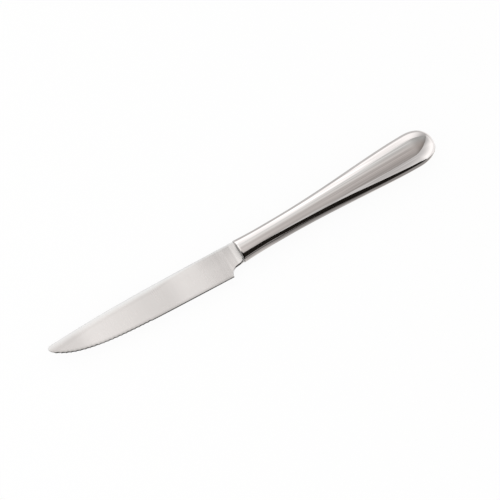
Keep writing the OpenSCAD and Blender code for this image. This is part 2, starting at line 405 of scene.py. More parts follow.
def satin_steel(start, finish):
    """Ground steel with fine lines across the blade, a band of its own along the spine, painted light and
    shade in bands along the blade, and painted shade along the edge.
    """
    fine = stretched_noise(start, GRIND_LINES, GRIND_SLANT, 3.0)
    broad = stretched_noise(start, GRIND_STREAKS, GRIND_SLANT)
    cloud = stretched_noise(start, GRIND_CLOUDS)
    ahead = before_mouth(start)
    over = kept_value(start, EDGE_GAP)
    under = kept_value(start, SPINE_GAP)
    grain = fine.grade(-0.03, 0.03)

    # Depth under the spine, counted double by the heel, where the band is narrow, and less at the point
    band = under * (ahead.fade(0.105, 0.085, -0.22, 0.0) + ahead.fade(0.05, 0.025, 1.0, 2.0))

    # How pale the face is, from its grain and streaks and from painted light and shade in bands along the
    # blade, with a dark line under the band and a dark patch by the heel
    streaks = ahead.fade(0.018, 0.01, 0.02, 0.1) * broad.fade(0.35, 0.65, -1.0, 1.0)
    pale = streaks + grain + ahead.steps(SATIN_PAINTED_LIGHT_STEPS) + SATIN_START
    pale = pale - (band - 0.0031).math("ABSOLUTE").fade(0.0, 0.0013, 0.18, 0.0)
    heel = ahead.fade(0.026, 0.018) * ahead.fade(0.0115, 0.0085, 1.0, 0.0)
    pale = pale - under.fade(0.002, 0.009, 0.26, 0.0) * heel
    face = band.fade(0.0005, 0.0028).blend(finish.satin_band, pale.blend(finish.satin_dark, finish.satin))

    # Painted shade along the edge, which is weaker at the point and ends at the heel
    shade = over.fade(0.0003, 0.002, 1.0, 0.0) * ahead.fade(0.075, 0.06, 0.57, 0.45)
    shade = shade * ahead.fade(0.1095, 0.104, 0.3, 1.0) * ahead.fade(0.0105, 0.0092, 1.0, 0.0)
    return {
        "Base Color": shade.blend(face, finish.honed),
        "Metallic": 1.0,
        "Roughness": grain + cloud.grade(-0.03, 0.03) + finish.satin_roughness,
        "Normal": bumped(start, fine, 0.000002, 0.12),
    }


def honed_and_painted_shade(start, finish):
    """The finer ground steel of the cutting edge, in a dark colour that is painted shade, darkest in the
    hollows and lighter by the heel and the point.
    """
    lines = stretched_noise(start, HONING_LINES, 0.0, 3.0)
    wear = even_noise(start, 240.0)
    hollow = kept_value(start, HOLLOW)
    ahead = before_mouth(start)
    # Painted shade over the honing lines: darker in the tooth hollows and in steps along the edge
    grain_and_painted_shade = lines.grade(0.1, -0.1) + hollow.fade(0.5, 0.95, 0.38, 1.02) + ahead.steps(HONED_PAINTED_SHADE_STEPS)
    honed = grain_and_painted_shade.blend(finish.honed, shaded(finish.honed, 0.15))
    # Less painted shade by the heel and at the point, towards the dark satin colour
    less_painted_shade = ahead.fade(0.02, 0.016, 0.0, 0.4) * ahead.fade(0.0105, 0.0095, 1.0, 0.0)
    less_painted_shade = less_painted_shade + ahead.fade(0.101, 0.1075)
    return {
        "Base Color": less_painted_shade.blend(honed, finish.satin_dark),
        "Metallic": 1.0,
        "Roughness": wear.grade(0.16, 0.26),
        "Normal": bumped(start, lines, 0.000003, 0.4),
    }


def polished_steel(start, finish):
    """Mirror-polished steel with faint polishing strokes and the haze of handling."""
    lines = stretched_noise(start, POLISHING_LINES, 0.0, 3.0)
    strokes = stretched_noise(start, POLISHING_STROKES)
    haze = stretched_noise(start, HANDLING_HAZE, HAZE_TURN, 4.0)
    along = position(start, "X")
    across = position(start, "Y")
    brushed = along.fade(0.03, 0.045, 1.0, 2.6) * along.fade(0.092, 0.106, 1.0, 0.0)
    brushed = brushed * across.fade(0.003, 0.008, 1.0, 0.4)
    stroke = (strokes - 0.5) * brushed + haze.fade(0.35, 0.7, -0.05, 0.05)
    rough = haze.fade(0.4, 0.75, 0.0, 0.03) + lines.fade(0.5, 0.8, 0.0, 0.03)
    return {
        "Base Color": stroke.fade(-0.24, 0.24).blend(finish.polished, finish.polished_haze),
        "Metallic": 1.0,
        "Roughness": rough + finish.polished_roughness,
        "Normal": bumped(start, lines, 0.0000008, 0.15),
    }


def front_painted_shade(start, finish):
    """The mouth's front and rim: polished steel with painted shade, most of all towards the edge's side."""
    behind = position(start, "X") - MOUTH_X
    over = position(start, "Y") - AXIS_Y
    stains = even_noise(start, 700.0, 4.0)
    on_rim = behind.fade(0.0, 0.0002)
    # Painted shade on the front face, darkest towards the edge's side, and a painted dark patch on the rim in
    # place of its highlight; the stains noise only varies the painted shade
    front = over.fade(0.006, 0.002)
    rim = over.fade(-0.001, -0.0027) * over.fade(-0.006, -0.0052)
    dark = mix(front, rim, on_rim) + stains.grade(-0.05, 0.05)
    dark = dark * behind.fade(0.0005, 0.00095, 1.0, 0.0)
    return {
        "Base Color": dark.blend(finish.polished, shaded(finish.polished, 0.08)),
        "Metallic": 1.0,
        "Roughness": on_rim.fade(0.0, 1.0, 0.28, finish.polished_roughness),
    }


def braze_metal(start, finish):
    """Silver braze, polished flush and a little warmer than the steel."""
    grains = even_noise(start, 2600.0, 4.0)
    runs = stretched_noise(start, (220.0, 500.0, 500.0))
    return {
        "Base Color": grains.grade().blend(shaded(finish.braze, 0.82), finish.braze),
        "Metallic": 1.0,
        "Roughness": runs.grade(0.14, 0.3),
        "Normal": bumped(start, grains, 0.00001, 0.3),
    }


def solder_metal(start, finish):
    """Dull gray solder with a slightly grainy skin."""
    grains = even_noise(start, 3000.0, 4.0)
    stains = even_noise(start, 500.0)
    return {
        "Base Color": stains.grade().blend(shaded(finish.solder, 0.7), finish.solder),
        "Metallic": 1.0,
        "Roughness": grains.grade(0.34, 0.55),
        "Normal": bumped(start, grains, 0.00002, 0.4),
    }


def cement_paste(start, finish):
    """Cast cement with sand grains and darker stains."""
    place = start.node("ShaderNodeTexCoord", output="Object")
    sand = start.node("ShaderNodeTexVoronoi", {}, {"Vector": place, "Scale": 2400.0}, "Distance")
    stains = even_noise(start, 260.0, 5.0)
    stained = stains.grade().blend(shaded(finish.cement, 0.6), finish.cement)
    return {
        "Base Color": sand.fade(0.28, 0.1, 0.0, 0.5).blend(stained, shaded(finish.cement, 1.35)),
        "Roughness": stains.grade(0.82, 0.95),
        "Normal": bumped(start, sand, 0.00015, 0.6),
    }


# Modelling

# Edges that turn by less than this are shaded smooth
SMOOTH_ANGLE = math.radians(32.0)


def start_piece(name, add, **settings):
    """Adds a primitive alone in the selection, with its place in its mesh, and opens it in edit mode."""
    bpy.ops.object.select_all(action="DESELECT")
    add(**settings)
    bpy.ops.object.transform_apply(location=True, rotation=True, scale=True)
    piece = bpy.context.object
    rename(piece, name)
    edit(piece)
    bpy.ops.mesh.select_all(action="SELECT")
    return piece


def rename(piece, name):
    """Names an object and its mesh."""
    piece.name = name
    piece.data.name = name


def activate(piece):
    """Makes a piece the only one selected and the active one."""
    bpy.ops.object.select_all(action="DESELECT")
    piece.select_set(True)
    bpy.context.view_layer.objects.active = piece


def edit(piece):
    """Opens a piece in edit mode."""
    activate(piece)
    bpy.ops.object.mode_set(mode="EDIT")


def close_edit():
    """Leaves edit mode."""
    bpy.ops.object.mode_set(mode="OBJECT")


def turn_outwards():
    """In edit mode, turns all normals outwards."""
    bpy.ops.mesh.select_all(action="SELECT")
    bpy.ops.mesh.normals_make_consistent(inside=False)


def pick(piece, kind, test):
    """In edit mode, selects only the edges or faces that pass a test, of which there has to be one."""
    bpy.ops.mesh.select_mode(type=kind)
    bpy.ops.mesh.select_all(action="DESELECT")
    shape = bmesh.from_edit_mesh(piece.data)
    found = [part for part in {"EDGE": shape.edges, "FACE": shape.faces}[kind] if test(part)]
    if not found:
        raise RuntimeError(f"{piece.name} has no {kind.lower()} to select")
    for part in found:
        part.select_set(True)
    bmesh.update_edit_mesh(piece.data)


def at_x(place, reach=1e-6):
    """A test for edges and faces that lie on a plane across the knife."""
    return lambda part: all(abs(vertex.co.x - place) < reach for vertex in part.verts)


def extrude(step):
    """Extrudes what is selected by a step."""
    bpy.ops.mesh.extrude_region_move(TRANSFORM_OT_translate={"value": step})


def resize(scale, centre):
    """Scales what is selected about a centre."""
    bpy.ops.transform.resize(value=scale, center_override=centre)


def finish_with(piece, kind, **settings):
    """Adds a modifier with its settings and applies it."""
    activate(piece)
    modifier = piece.modifiers.new(kind.lower(), kind)
    for name, value in settings.items():
        setattr(modifier, name, value)
    bpy.ops.object.modifier_apply(modifier=modifier.name)


def cut(piece, cutter):
    """Leaves the cutter's edit mode, cuts a piece with it and deletes it."""
    close_edit()
    finish_with(piece, "BOOLEAN", operation="DIFFERENCE", object=cutter, solver="EXACT")
    activate(cutter)
    bpy.ops.object.delete()


def dress(piece, materials, replaced):
    """Gives a finished piece its smooth shading and materials, hides the imported part it replaces and hangs
    it on the root body.
    """
    activate(piece)
    bpy.ops.object.shade_smooth_by_angle(angle=SMOOTH_ANGLE)
    piece.data.materials.clear()
    for material in materials:
        piece.data.materials.append(material)
    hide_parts(replaced)
    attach(piece, "root")


def use_second_material(piece, test):
    """Gives the faces that pass a test the second of a piece's materials."""
    edit(piece)
    pick(piece, "FACE", test)
    piece.active_material_index = 1
    bpy.ops.object.material_slot_assign()
    close_edit()


# Blade

# Rows of vertices across the blade, as shares of its height, close together near the edge and the spine
EDGE_ROWS = (0.0, 0.006, 0.016, 0.027, 0.042, 0.062, 0.085)
SPINE_ROWS = (0.93, 0.955, 0.975, 0.988, 0.996, 1.0)
FACE_ROWS = 22

# Columns of vertices along the neck, the notch, the plain edge and the point
NECK_COLUMNS = 7
NOTCH_COLUMNS = 18
PLAIN_COLUMNS = 30
POINT_COLUMNS = 20
NOTCH_START = 0.45
POINT_GAP = 0.000003

# Least half thickness of the ground steel, and the shares of it that are left at the very rims
LEAST_HALF = 0.00012
SPINE_SHARE = 0.45
EDGE_SHARE = 0.12
NECK_SHARE = 0.3

# Share of the heel's setback over which the bevel turns into the neck's round edges
NECK_BLEND = 0.3

# The crown at the heel, as a share of the full one, and where it starts to grow and how soon it is full
HEEL_CROWN = 0.35
CROWN_START = 0.02
CROWN_RUN = 0.035
CROWN_POWER = 1.5

# The honed finish, whose colour is painted shade: its share of the bevel, and the lower and upper bounds
# under the neck of a band of the same painted shade, which drop in a run
HONED_SHARE = 0.9
NECK_SHADE_END = 0.65
NECK_SHADE_LOW = (0.0007, 0.0, 0.0025)
NECK_SHADE_HIGH = (0.002, 0.0006, 0.002)

# How much wider and thicker the solder is at the mouth than at the neck
SOLDER_SPREAD = (1.0, 1.03, 1.12)


def spine_height(blade, reach):
    """Height of the spine over the axis at a distance from the mouth."""
    end = blade.length - blade.point_radius
    if reach > end:
        return blade.point_rise + math.sqrt(max(0.0, blade.point_radius ** 2 - (reach - end) ** 2))
    part = reach / end
    bow = part ** blade.spine_lag
    straight = mix(blade.neck_rise, blade.point_rise + blade.point_radius, part)
    return straight + 4 * blade.spine_bow * bow * (1 - bow)


def edge_height(blade, reach):
    """Height of the plain cutting edge over the axis at a distance from the mouth."""
    part = clamp((reach - blade.heel_setback) / (blade.length - blade.heel_setback))
    depth = blade.point_rise + blade.heel_drop - blade.edge_slant * part
    return blade.point_rise - depth * (1 - part ** blade.edge_fullness) ** blade.edge_sweep


def edge_run(blade, reach):
    """Length along the edge for each metre along the axis."""
    step = 0.0001
    rise = edge_height(blade, reach + step) - edge_height(blade, reach - step)
    return math.hypot(1.0, rise / (2 * step))


def tooth_centres(blade):
    """Distances from the mouth to the hollows, from the point backwards."""
    centres = [blade.length - blade.tooth_start]
    while len(centres) < blade.tooth_count:
        centres.append(centres[-1] - blade.tooth_pitch / edge_run(blade, centres[-1]))
    return centres


def tooth_hollow(blade, reach, centres):
    """How far a hollow lifts the edge at a distance from the mouth."""
    radius = (blade.tooth_pitch ** 2 / 4 + blade.tooth_depth ** 2) / (2 * blade.tooth_depth)
    centre = min(centres, key=lambda place: abs(place - reach))
    run = edge_run(blade, centre)
    along = abs(reach - centre) * run
    if along >= blade.tooth_pitch / 2:
        return 0.0
    return (math.sqrt(radius ** 2 - along ** 2) - radius + blade.tooth_depth) * run


def lower_height(blade, reach, centres):
    """Height of the toothed edge, of the notch behind the heel, or of the neck's foot."""
    if reach >= blade.heel_setback:
        return edge_height(blade, reach) + tooth_hollow(blade, reach, centres)
    rise = blade.heel_drop - blade.notch_drop
    middle = blade.heel_setback - math.sqrt(2 * blade.notch_radius * rise - rise ** 2)
    if reach > middle:
        arc = math.sqrt(blade.notch_radius ** 2 - (reach - middle) ** 2)
        return -blade.notch_drop - blade.notch_radius + arc
    return mix(-blade.neck_drop, -blade.notch_drop, reach / middle)


def ground_half(blade, reach, height):
    """Half the thickness that the grind's rear and front planes leave."""
    stock = blade.stock / 2
    honed = blade.edge_thickness / 2
    belly = blade.belly_setback
    grind_top = spine_height(blade, blade.heel_setback) - blade.band
    lean = (stock - honed) / (grind_top + blade.heel_drop)
    belly_height = edge_height(blade, belly)
    rear_taper = lean * (belly_height + blade.heel_drop) / (belly - blade.heel_setback)
    rear = stock + lean * (height - grind_top) - rear_taper * (reach - blade.heel_setback)
    front_rise = lean * (blade.point_rise - belly_height)
    front_taper = (front_rise + honed - blade.point_thickness / 2) / (blade.length - belly)
    front = honed + lean * (height - belly_height) - front_taper * (reach - belly)
    ground = soft_min(soft_min(rear, front, blade.grind_softness), stock, blade.grind_softness)
    return max(ground, LEAST_HALF)


def rounded_part(depth, radius, least):
    """Share of the thickness left at a depth under a rounded rim."""
    inside = clamp(1.0 - depth / radius)
    return mix(least, 1.0, math.sqrt(1.0 - inside ** 2))


def half_thickness(blade, reach, height, low, high):
    """Half the blade's thickness at a place between the heights of its edge and its spine."""
    stock = blade.stock / 2
    past_plunge = ease(0.5 + (reach - blade.plunge) / blade.plunge_softness)
    half = mix(stock, ground_half(blade, reach, height), past_plunge)

    # The crown, which narrows towards the heel, and the rounded edges of the spine
    depth = high - height
    crown = mix(HEEL_CROWN, 1.0, ease((reach - CROWN_START) / CROWN_RUN))
    inside = clamp(1.0 - depth / (crown * blade.crown_width))
    half -= crown * blade.spine_crown * inside ** CROWN_POWER * half / stock
    half *= rounded_part(depth, blade.spine_round, SPINE_SHARE)

    # The honed bevel of the edge, which turns into rounded edges under the neck
    depth = height - low
    honed_part = mix(EDGE_SHARE, 1.0, clamp(depth / blade.hone))
    round_part = rounded_part(depth, blade.neck_round, NECK_SHARE)
    on_neck = ease((blade.heel_setback - reach) / (NECK_BLEND * blade.heel_setback))
    return half * mix(honed_part, round_part, on_neck)


def slowing(start, end, step, steps):
    """A place on the way from start to end, in steps that grow shorter."""
    return mix(start, end, math.sin(math.pi / 2 * step / steps))


def blade_columns(blade, centres):
    """Distances from the mouth to the columns of vertices, close in the notch, the teeth and the point."""
    heel = blade.heel_setback
    notch = NOTCH_START * heel
    first_tooth = centres[-1] - blade.tooth_pitch / 2
    reaches = [mix(blade.joint, notch, step / NECK_COLUMNS) for step in range(NECK_COLUMNS)]
    reaches += [slowing(notch, heel, step, NOTCH_COLUMNS) for step in range(NOTCH_COLUMNS)]
    reaches += [mix(heel, first_tooth, step / PLAIN_COLUMNS) for step in range(PLAIN_COLUMNS)]
    for centre in reversed(centres):
        half_pitch = blade.tooth_pitch / 2 / edge_run(blade, centre)
        for step in range(blade.tooth_steps):
            reaches.append(centre + half_pitch * (2 * step / blade.tooth_steps - 1))
    last_tooth = centres[0] + blade.tooth_pitch / 2 / edge_run(blade, centres[0])
    end = blade.length - POINT_GAP
    reaches += [slowing(last_tooth, end, step, POINT_COLUMNS) for step in range(POINT_COLUMNS + 1)]
    return reaches


class KNIFE_OT_ground_blade(bpy.types.Operator):
    """Models the blade with its grind, teeth, neck and tang, and the line of solder at its neck"""

    bl_idname = "knife.ground_blade"
    bl_label = "Ground Blade"

    def execute(self, context):
        blade = context.scene.knife_blade
        centres = tooth_centres(blade)
        columns = []
        for reach in blade_columns(blade, centres):
            columns.append((reach, lower_height(blade, reach, centres), spine_height(blade, reach)))
        face_rows = [mix(EDGE_ROWS[-1], SPINE_ROWS[0], step / FACE_ROWS) for step in range(1, FACE_ROWS)]

        piece = self.flat_blade(columns, (*EDGE_ROWS, *face_rows, *SPINE_ROWS))
        self.grind(piece, blade, columns)
        solder = self.solder_line(piece, blade)
        self.tang(piece, blade)

        finish = context.scene.knife_finish
        steels = [surface("satin_steel", satin_steel, finish), surface("honed_and_painted_shade", honed_and_painted_shade, finish)]
        dress(piece, steels, "blade")
        self.mark(piece, blade, centres)
        self.hone(piece, blade, centres)
        dress(solder, [surface("solder", solder_metal, finish)], "neck_solder")
        return {"FINISHED"}

    def flat_blade(self, columns, rows):
        """Draws one column of vertices at the neck and extrudes it from column to column to the point."""
        reach, low, high = columns[0]
        place = (MOUTH_X - reach, AXIS_Y + low, MID_Z)
        piece = start_piece("ground_blade", bpy.ops.mesh.primitive_plane_add, size=0.001, location=place)
        bpy.ops.mesh.merge(type="CENTER")
        for before, after in pairwise(rows):
            extrude((0.0, (after - before) * (high - low), 0.0))
        bpy.ops.mesh.select_all(action="SELECT")
        for (reach, low, high), (next_reach, next_low, next_high) in pairwise(columns):
            middle = (next_low + next_high) / 2
            extrude((reach - next_reach, middle - (low + high) / 2, 0.0))
            centre = (MOUTH_X - next_reach, AXIS_Y + middle, MID_Z)
            resize((1.0, (next_high - next_low) / (high - low), 1.0), centre)
        turn_outwards()
        close_edit()
        return piece

    def grind(self, piece, blade, columns):
        """Thickens the flat blade by a weight at each vertex."""
        group = piece.vertex_groups.new(name="grind")
        bounds = {round(reach, 7): (low, high) for reach, low, high in columns}
        for vertex in piece.data.vertices:
            reach = MOUTH_X - vertex.co.x
            nearest = min(bounds, key=lambda place: abs(place - reach))
            half = half_thickness(blade, nearest, vertex.co.y - AXIS_Y, *bounds[nearest])
            group.add([vertex.index], clamp(2 * half / blade.stock), "REPLACE")
        finish_with(
            piece, "SOLIDIFY", thickness=blade.stock, offset=0.0, vertex_group=group.name, use_rim=True
        )
        piece.vertex_groups.clear()

    def solder_line(self, piece, blade):
        """Splits a copy of the neck's end off the blade and thickens it up to the mouth."""
        edit(piece)
        pick(piece, "FACE", at_x(MOUTH_X - blade.joint))
        bpy.ops.mesh.duplicate()
        bpy.ops.mesh.separate(type="SELECTED")
        close_edit()
        solder = next(other for other in bpy.context.selected_objects if other is not piece)
        rename(solder, "solder_line")
        edit(solder)
        bpy.ops.mesh.select_all(action="SELECT")
        extrude((blade.joint, 0.0, 0.0))
        resize(SOLDER_SPREAD, MOUTH)
        turn_outwards()
        close_edit()
        return solder

    def tang(self, piece, blade):
        """Draws the tang out of the neck's end and cuts its key notches."""
        end = MOUTH_X - blade.joint
        neck_middle = AXIS_Y + (blade.neck_rise - blade.neck_drop) / 2
        neck_height = blade.neck_rise + blade.neck_drop
        edit(piece)
        pick(piece, "FACE", at_x(end))
        extrude((0.0, 0.0, 0.0))
        scale = (1.0, blade.tang_width / neck_height, blade.tang_thickness / blade.stock)
        resize(scale, (end, neck_middle, MID_Z))
        bpy.ops.transform.translate(value=(0.0, AXIS_Y - neck_middle, 0.0))
        extrude((blade.joint + blade.tang_length, 0.0, 0.0))
        turn_outwards()
        close_edit()
        last_pair = MOUTH_X + blade.tang_length - blade.key_setback
        for pair in range(blade.key_pairs):
            for side in (-1, 1):
                place = (last_pair - pair * blade.key_pitch, AXIS_Y + side * blade.tang_width / 2, MID_Z)
                cut(piece, start_piece(
                    "key_cutter", bpy.ops.mesh.primitive_cylinder_add,
                    vertices=40, radius=blade.key_radius, depth=3 * blade.stock, location=place,
                ))

    def mark(self, piece, blade, centres):
        """Notes where each vertex is between the edge, the spine and the hollows, for the finish."""
        for name in (EDGE_GAP, SPINE_GAP, HOLLOW):
            piece.data.attributes.new(name, "FLOAT", "POINT")
        over = piece.data.attributes[EDGE_GAP].data
        under = piece.data.attributes[SPINE_GAP].data
        hollow = piece.data.attributes[HOLLOW].data
        for vertex in piece.data.vertices:
            reach = clamp(MOUTH_X - vertex.co.x, 0.0, blade.length)
            height = vertex.co.y - AXIS_Y
            over[vertex.index].value = height - lower_height(blade, reach, centres)
            under[vertex.index].value = spine_height(blade, reach) - height
            hollow[vertex.index].value = tooth_hollow(blade, reach, centres) / blade.tooth_depth

    def hone(self, piece, blade, centres):
        """Gives the bevel along the cutting edge its own finish, and paints shade with it in a band under the
        neck.
        """

        def bound(reach, at_mouth, ahead, run):
            return mix(at_mouth, ahead, ease(reach / run))

        def on_bevel_or_neck_shade(face):
            place = face.calc_center_median()
            reach = MOUTH_X - place.x
            over = place.y - AXIS_Y - lower_height(blade, reach, centres)
            if reach > blade.heel_setback:
                return over < HONED_SHARE * blade.hone
            if not blade.joint < reach < NECK_SHADE_END * blade.heel_setback:
                return False
            return bound(reach, *NECK_SHADE_LOW) < over < bound(reach, *NECK_SHADE_HIGH)

        use_second_material(piece, on_bevel_or_neck_shade)


# Handle

# How the handle's rings spread out behind the rim, and how deep the mouth's painted shade goes
RING_SPREAD = 1.15
FRONT_SHADE_DEPTH = 0.001


def handle_half_width(handle, reach):
    """Half the handle's width at a distance from its mouth."""
    bulge = BUTT_X - MOUTH_X - handle.butt_length
    part = clamp((reach - handle.waist_setback) / (bulge - handle.waist_setback))
    swell = ease(part ** handle.swell_lag)
    flare = clamp(1.0 - reach / handle.waist_setback) ** 2
    width = handle.waist_width + (handle.bulge_width - handle.waist_width) * swell
    return (width + (handle.mouth_width - handle.waist_width) * flare) / 2


def handle_half_thickness(handle, reach):
    """Half the handle's thickness at a distance from its mouth."""
    bulge = BUTT_X - MOUTH_X - handle.butt_length
    return mix(handle.mouth_thickness, handle.bulge_thickness, ease(reach / bulge)) / 2


def handle_rings(handle):
    """Distances from the mouth, half widths and half thicknesses of the rings from the rim to the butt."""
    bulge = BUTT_X - MOUTH_X - handle.butt_length
    rings = []
    for step in range(handle.rim_steps + 1):
        turn = math.pi / 2 * step / handle.rim_steps
        rings.append((handle.rim * (1 - math.cos(turn)), handle.rim * (1 - math.sin(turn)), 1.0))
    for step in range(1, handle.run_steps + 1):
        rings.append((mix(handle.rim, bulge, (step / handle.run_steps) ** RING_SPREAD), 0.0, 1.0))
    for step in range(1, handle.butt_steps):
        part = math.sin(math.pi / 2 * step / handle.butt_steps)
        size = (1 - part ** handle.butt_fullness) ** (1 / handle.butt_fullness)
        rings.append((bulge + handle.butt_length * part, 0.0, size))
    sized = []
    for reach, inset, size in rings:
        half_width = handle_half_width(handle, min(reach, bulge)) - inset
        half_depth = handle_half_thickness(handle, min(reach, bulge)) - inset
        sized.append((reach, half_width * size, half_depth * size))
    return sized


class KNIFE_OT_polished_shells(bpy.types.Operator):
    """Models the two polished halves of the hollow handle"""

    bl_idname = "knife.polished_shells"
    bl_label = "Polished Shells"

    def execute(self, context):
        handle = context.scene.knife_handle
        blade = context.scene.knife_blade
        finish = context.scene.knife_finish
        upper = self.skin(handle)
        lower = self.twin(upper)
        materials = [
            surface("polished_steel", polished_steel, finish), surface("front_painted_shade", front_painted_shade, finish),
        ]
        self.half(upper, handle, blade, SEAM_HIGH.z, -1.0)
        self.half(lower, handle, blade, SEAM_LOW.z, 1.0)
        dress(upper, materials, "upper_handle_shell")
        dress(lower, materials, "lower_handle_shell")
        for shell in (upper, lower):
            self.paint_front_shade(shell)
        return {"FINISHED"}

    def skin(self, handle):
        """Bevels a square into the section's oval and extrudes it from ring to ring to the butt."""
        rings = handle_rings(handle)
        piece = start_piece(
            "polished_upper_shell", bpy.ops.mesh.primitive_plane_add,
            size=2.0, location=MOUTH, rotation=(0.0, math.pi / 2, 0.0),
        )
        # The profile at which the bevelled square is an oval of the section's fullness
        bpy.ops.mesh.bevel(
            offset=1.0, offset_type="OFFSET", segments=handle.section_steps, affect="VERTICES",
            clamp_overlap=False, profile=0.25 ** (1 / handle.section_fullness),
        )
        bpy.ops.mesh.remove_doubles(threshold=0.0001)
        resize((1.0, *rings[0][1:]), MOUTH)
        bpy.ops.mesh.delete(type="ONLY_FACE")
        bpy.ops.mesh.select_mode(type="EDGE")
        bpy.ops.mesh.select_all(action="SELECT")
        for (reach, half_width, half_depth), (next_reach, next_width, next_depth) in pairwise(rings):
            extrude((next_reach - reach, 0.0, 0.0))
            place = (MOUTH_X + next_reach, AXIS_Y, MID_Z)
            resize((1.0, next_width / half_width, next_depth / half_depth), place)
        extrude((BUTT_X - MOUTH_X - rings[-1][0], 0.0, 0.0))
        bpy.ops.mesh.merge(type="CENTER")
        pick(piece, "EDGE", at_x(MOUTH_X, 1e-7))
        bpy.ops.mesh.edge_face_add()
        bpy.ops.mesh.select_mode(type="FACE")
        bpy.ops.mesh.inset(thickness=handle.rim / 2)
        turn_outwards()
        close_edit()
        return piece

    def twin(self, upper):
        """Copies the skin for the lower shell, with its own mesh."""
        activate(upper)
        bpy.ops.object.duplicate(linked=False)
        lower = bpy.context.object
        rename(lower, "polished_lower_shell")
        return lower

    def half(self, piece, handle, blade, plane, keep):
        """Cuts a skin at the seam, gives it the wall's thickness and cuts the slot for the tang."""
        edit(piece)
        bpy.ops.mesh.select_all(action="SELECT")
        bpy.ops.mesh.bisect(
            plane_co=(0.0, 0.0, plane), plane_no=(0.0, 0.0, keep), clear_inner=False, clear_outer=True
        )
        close_edit()
        finish_with(
            piece, "SOLIDIFY", thickness=handle.wall, offset=-1.0,
            use_even_offset=True, use_quality_normals=True,
        )
        slot_width = blade.tang_width + 2 * handle.slot_gap
        slot_thickness = blade.tang_thickness + 2 * handle.slot_gap
        cut(piece, start_piece(
            "slot_cutter", bpy.ops.mesh.primitive_cube_add, size=1.0,
            location=MOUTH, scale=(4 * handle.wall, slot_width, slot_thickness),
        ))

    def paint_front_shade(self, piece):
        """Gives the front and the rim of the mouth their painted shade."""

        def in_front(face):
            return all(vertex.co.x - MOUTH_X < FRONT_SHADE_DEPTH for vertex in face.verts)

        use_second_material(piece, in_front)


class KNIFE_OT_inner_fillings(bpy.types.Operator):
    """Gives the braze in the seam and the cement round the tang their finishes"""

    bl_idname = "knife.inner_fillings"
    bl_label = "Braze and Cement"

    def execute(self, context):
        finish = context.scene.knife_finish
        finishes = {
            "shell_seam_braze": surface("braze", braze_metal, finish),
            "tang_cement": surface("cement", cement_paste, finish),
        }
        for name, material in finishes.items():
            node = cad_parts[name]
            for slot in node.material_slots:
                slot.link = "OBJECT"
                slot.material = material
        return {"FINISHED"}


# Studio

FLOOR_SIZE = 8.0

# How bright mirrors see the floor in front of the knife, and how much of it glows for camera and mirrors
FLOOR_FRONT = 1.2
FLOOR_SEEN = 0.92
FLOOR_MIRRORED = 0.8

# Corners of the panel over the knife, in X and Y
PANEL_RIGHT = ((1.25, 0.43), (0.6, 0.11), (0.283, -0.135), (0.15, -0.36))
PANEL_CORNERS = (
    (-1.5, 0.41), (0.2, 0.43), (0.3, 0.5), (0.68, 0.5), (1.9, 0.9), (1.9, 0.8), *PANEL_RIGHT,
    (0.128, -0.36), (0.112, -0.275), (-1.5, -0.275),
)

# Corners of the dark card in front of the knife, in X and Z, and of its foot on the floor, in X and Y
CARD_Y = -0.4
CARD_CORNERS = (
    (-0.6, 0.0), (0.31, 0.0), (0.3, 0.02), (0.268, 0.045), (0.246, 0.065), (0.204, 0.155),
    (0.1765, 0.262), (0.162, 0.312), (0.158, 0.385), (0.148, 0.405), (0.136, 0.385), (0.131, 0.38),
    (0.129, 0.5), (0.141, 0.62), (0.155, 0.76), (0.17, 0.87), (-0.6, 0.87),
)
FOOT_Z = 0.0002
FOOT_CORNERS = (
    (-0.6, CARD_Y), (0.31, CARD_Y), (0.17, -0.12), (0.127, -0.045), (0.117, -0.004), (-0.6, -0.004),
)

# Least glow of the card, and where its foot glows more towards the knife: start, end and change
CARD_GLOW = 0.014
FOOT_STEPS = ((-0.0435, -0.0365, 0.22), (-0.0325, -0.0285, -0.09), (-0.025, -0.0195, 0.22))

# What the camera aims at, from the middle of the mouth
AIM = Vector((0.005438, -0.002311, 0.000081))


def inside_edges(start, corners):
    """How far a place is inside the furthest of the edges that join corners."""
    place = start.node("ShaderNodeTexCoord", output="Object")
    gaps = []
    for (first_x, first_y), (last_x, last_y) in pairwise(corners):
        inwards = Vector((last_y - first_y, first_x - last_x, 0.0)).normalized()
        offset = {0: place, 1: (first_x, first_y, 0.0)}
        offset = start.node("ShaderNodeVectorMath", {"operation": "SUBTRACT"}, offset)
        along = {0: offset, 1: inwards}
        gaps.append(start.node("ShaderNodeVectorMath", {"operation": "DOT_PRODUCT"}, along, "Value"))
    most, *others = gaps
    for gap in others:
        most = most.math("MAXIMUM", gap)
    return most


def panel_light(start, studio):
    """The panel's tint and glow."""
    along = position(start, "X")
    depth = position(start, "Y")
    inside = inside_edges(start, PANEL_RIGHT)
    glow = along.fade(0.0, 0.15, 1.07, 0.58) * along.fade(0.2, 0.4, 1.0, 0.74)
    glow = glow * inside.fade(-0.02, 0.15, 0.62, 1.02)
    glow = glow + depth.fade(0.05, 0.36, 0.0, 0.4) * along.fade(0.1, 0.55, 1.0, 0.2)
    glow = glow + depth.fade(-0.18, -0.32, 0.0, 0.15)
    tint = along.fade(0.05, 0.6).blend(studio.warmth, studio.far_warmth)
    return depth.fade(0.08, 0.34).blend(tint, studio.back_tint), glow


